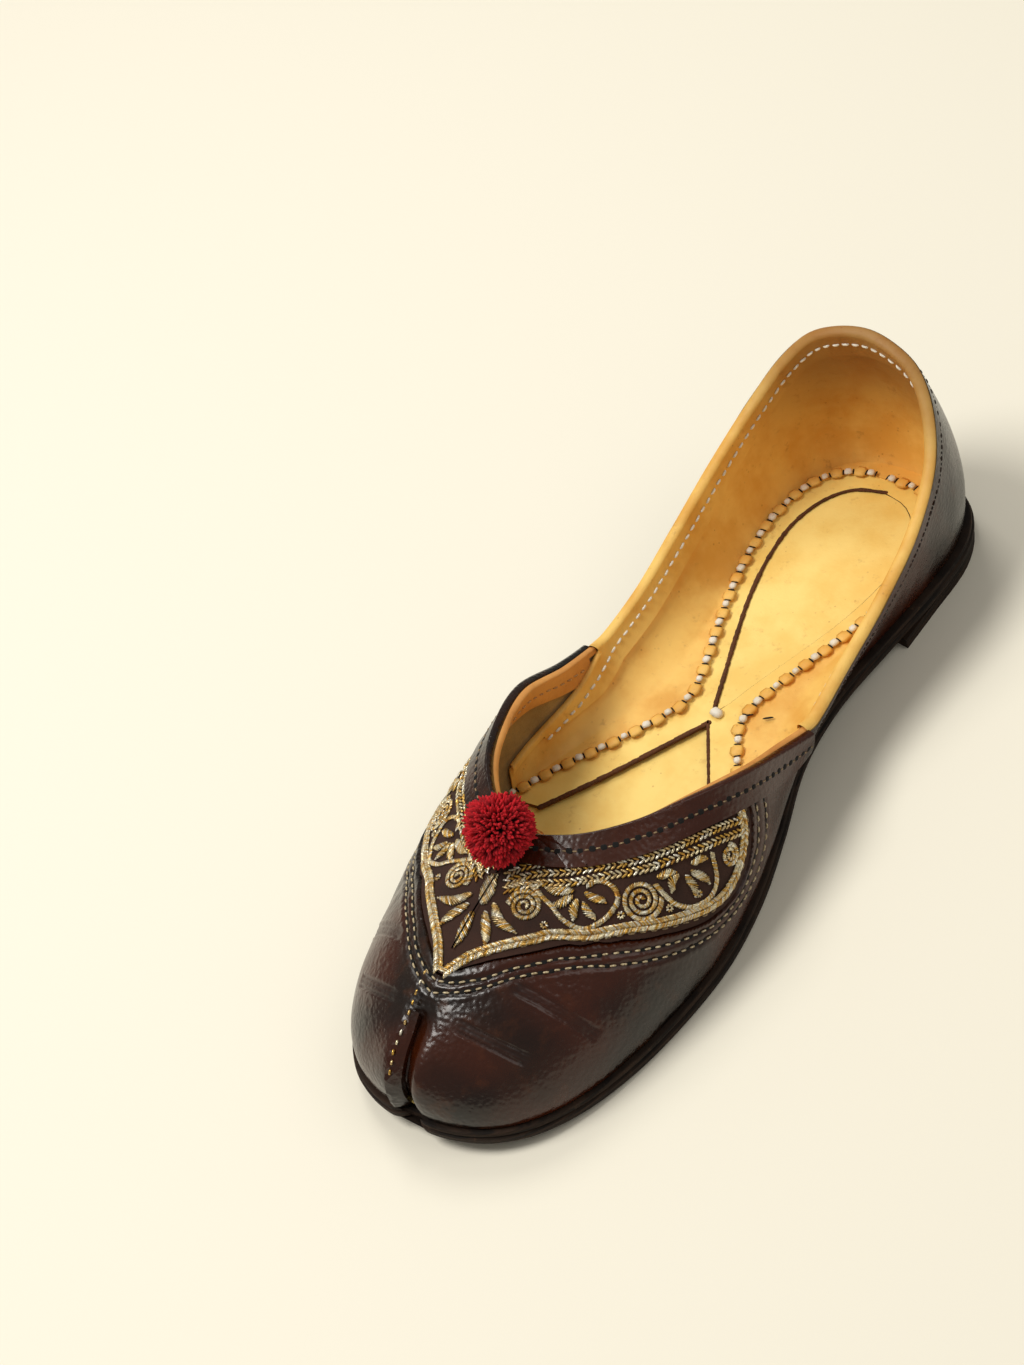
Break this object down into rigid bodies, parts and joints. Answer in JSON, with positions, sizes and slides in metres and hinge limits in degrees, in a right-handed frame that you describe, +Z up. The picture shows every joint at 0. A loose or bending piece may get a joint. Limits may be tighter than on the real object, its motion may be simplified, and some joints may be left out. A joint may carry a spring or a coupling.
{
  "type": "mojari shoe",
  "caption": "Flat slip-on leather shoe with a low throat, embroidered V panel on the vamp, pinched toe seam, tan lining and a wool pompom.",
  "frame": {"origin": "on the ground under the middle of the heel's flat spot", "axes": "+Z up, toe toward -Y, heel toward +Y, +X to the right seen from the toe"},
  "size_m": [0.0912, 0.252, 0.0688],
  "materials": {
    "sole_leather": "rough edge, near black brown",
    "upper_leather": "burnished, glossy dark brown",
    "embroidery": "metallic gold thread on dark leather",
    "lining_leather": "smooth tan",
    "insole_leather": "smooth light tan",
    "wool": "crimson wool"
  },
  "bodies": {
    "root": {"outsole": "sole_leather", "heel_lift": "sole_leather", "upper": "upper_leather", "embroidered_panel": "embroidery", "throat_binding": "upper_leather", "toe_seam_tab": "upper_leather", "quarter_lining": "lining_leather", "quarter_band": "lining_leather", "vamp_facing": "lining_leather", "insole": "insole_leather", "insole_frame": "insole_leather", "heel_pad": "insole_leather", "pompom": "wool"}
  },
  "joints": []
}
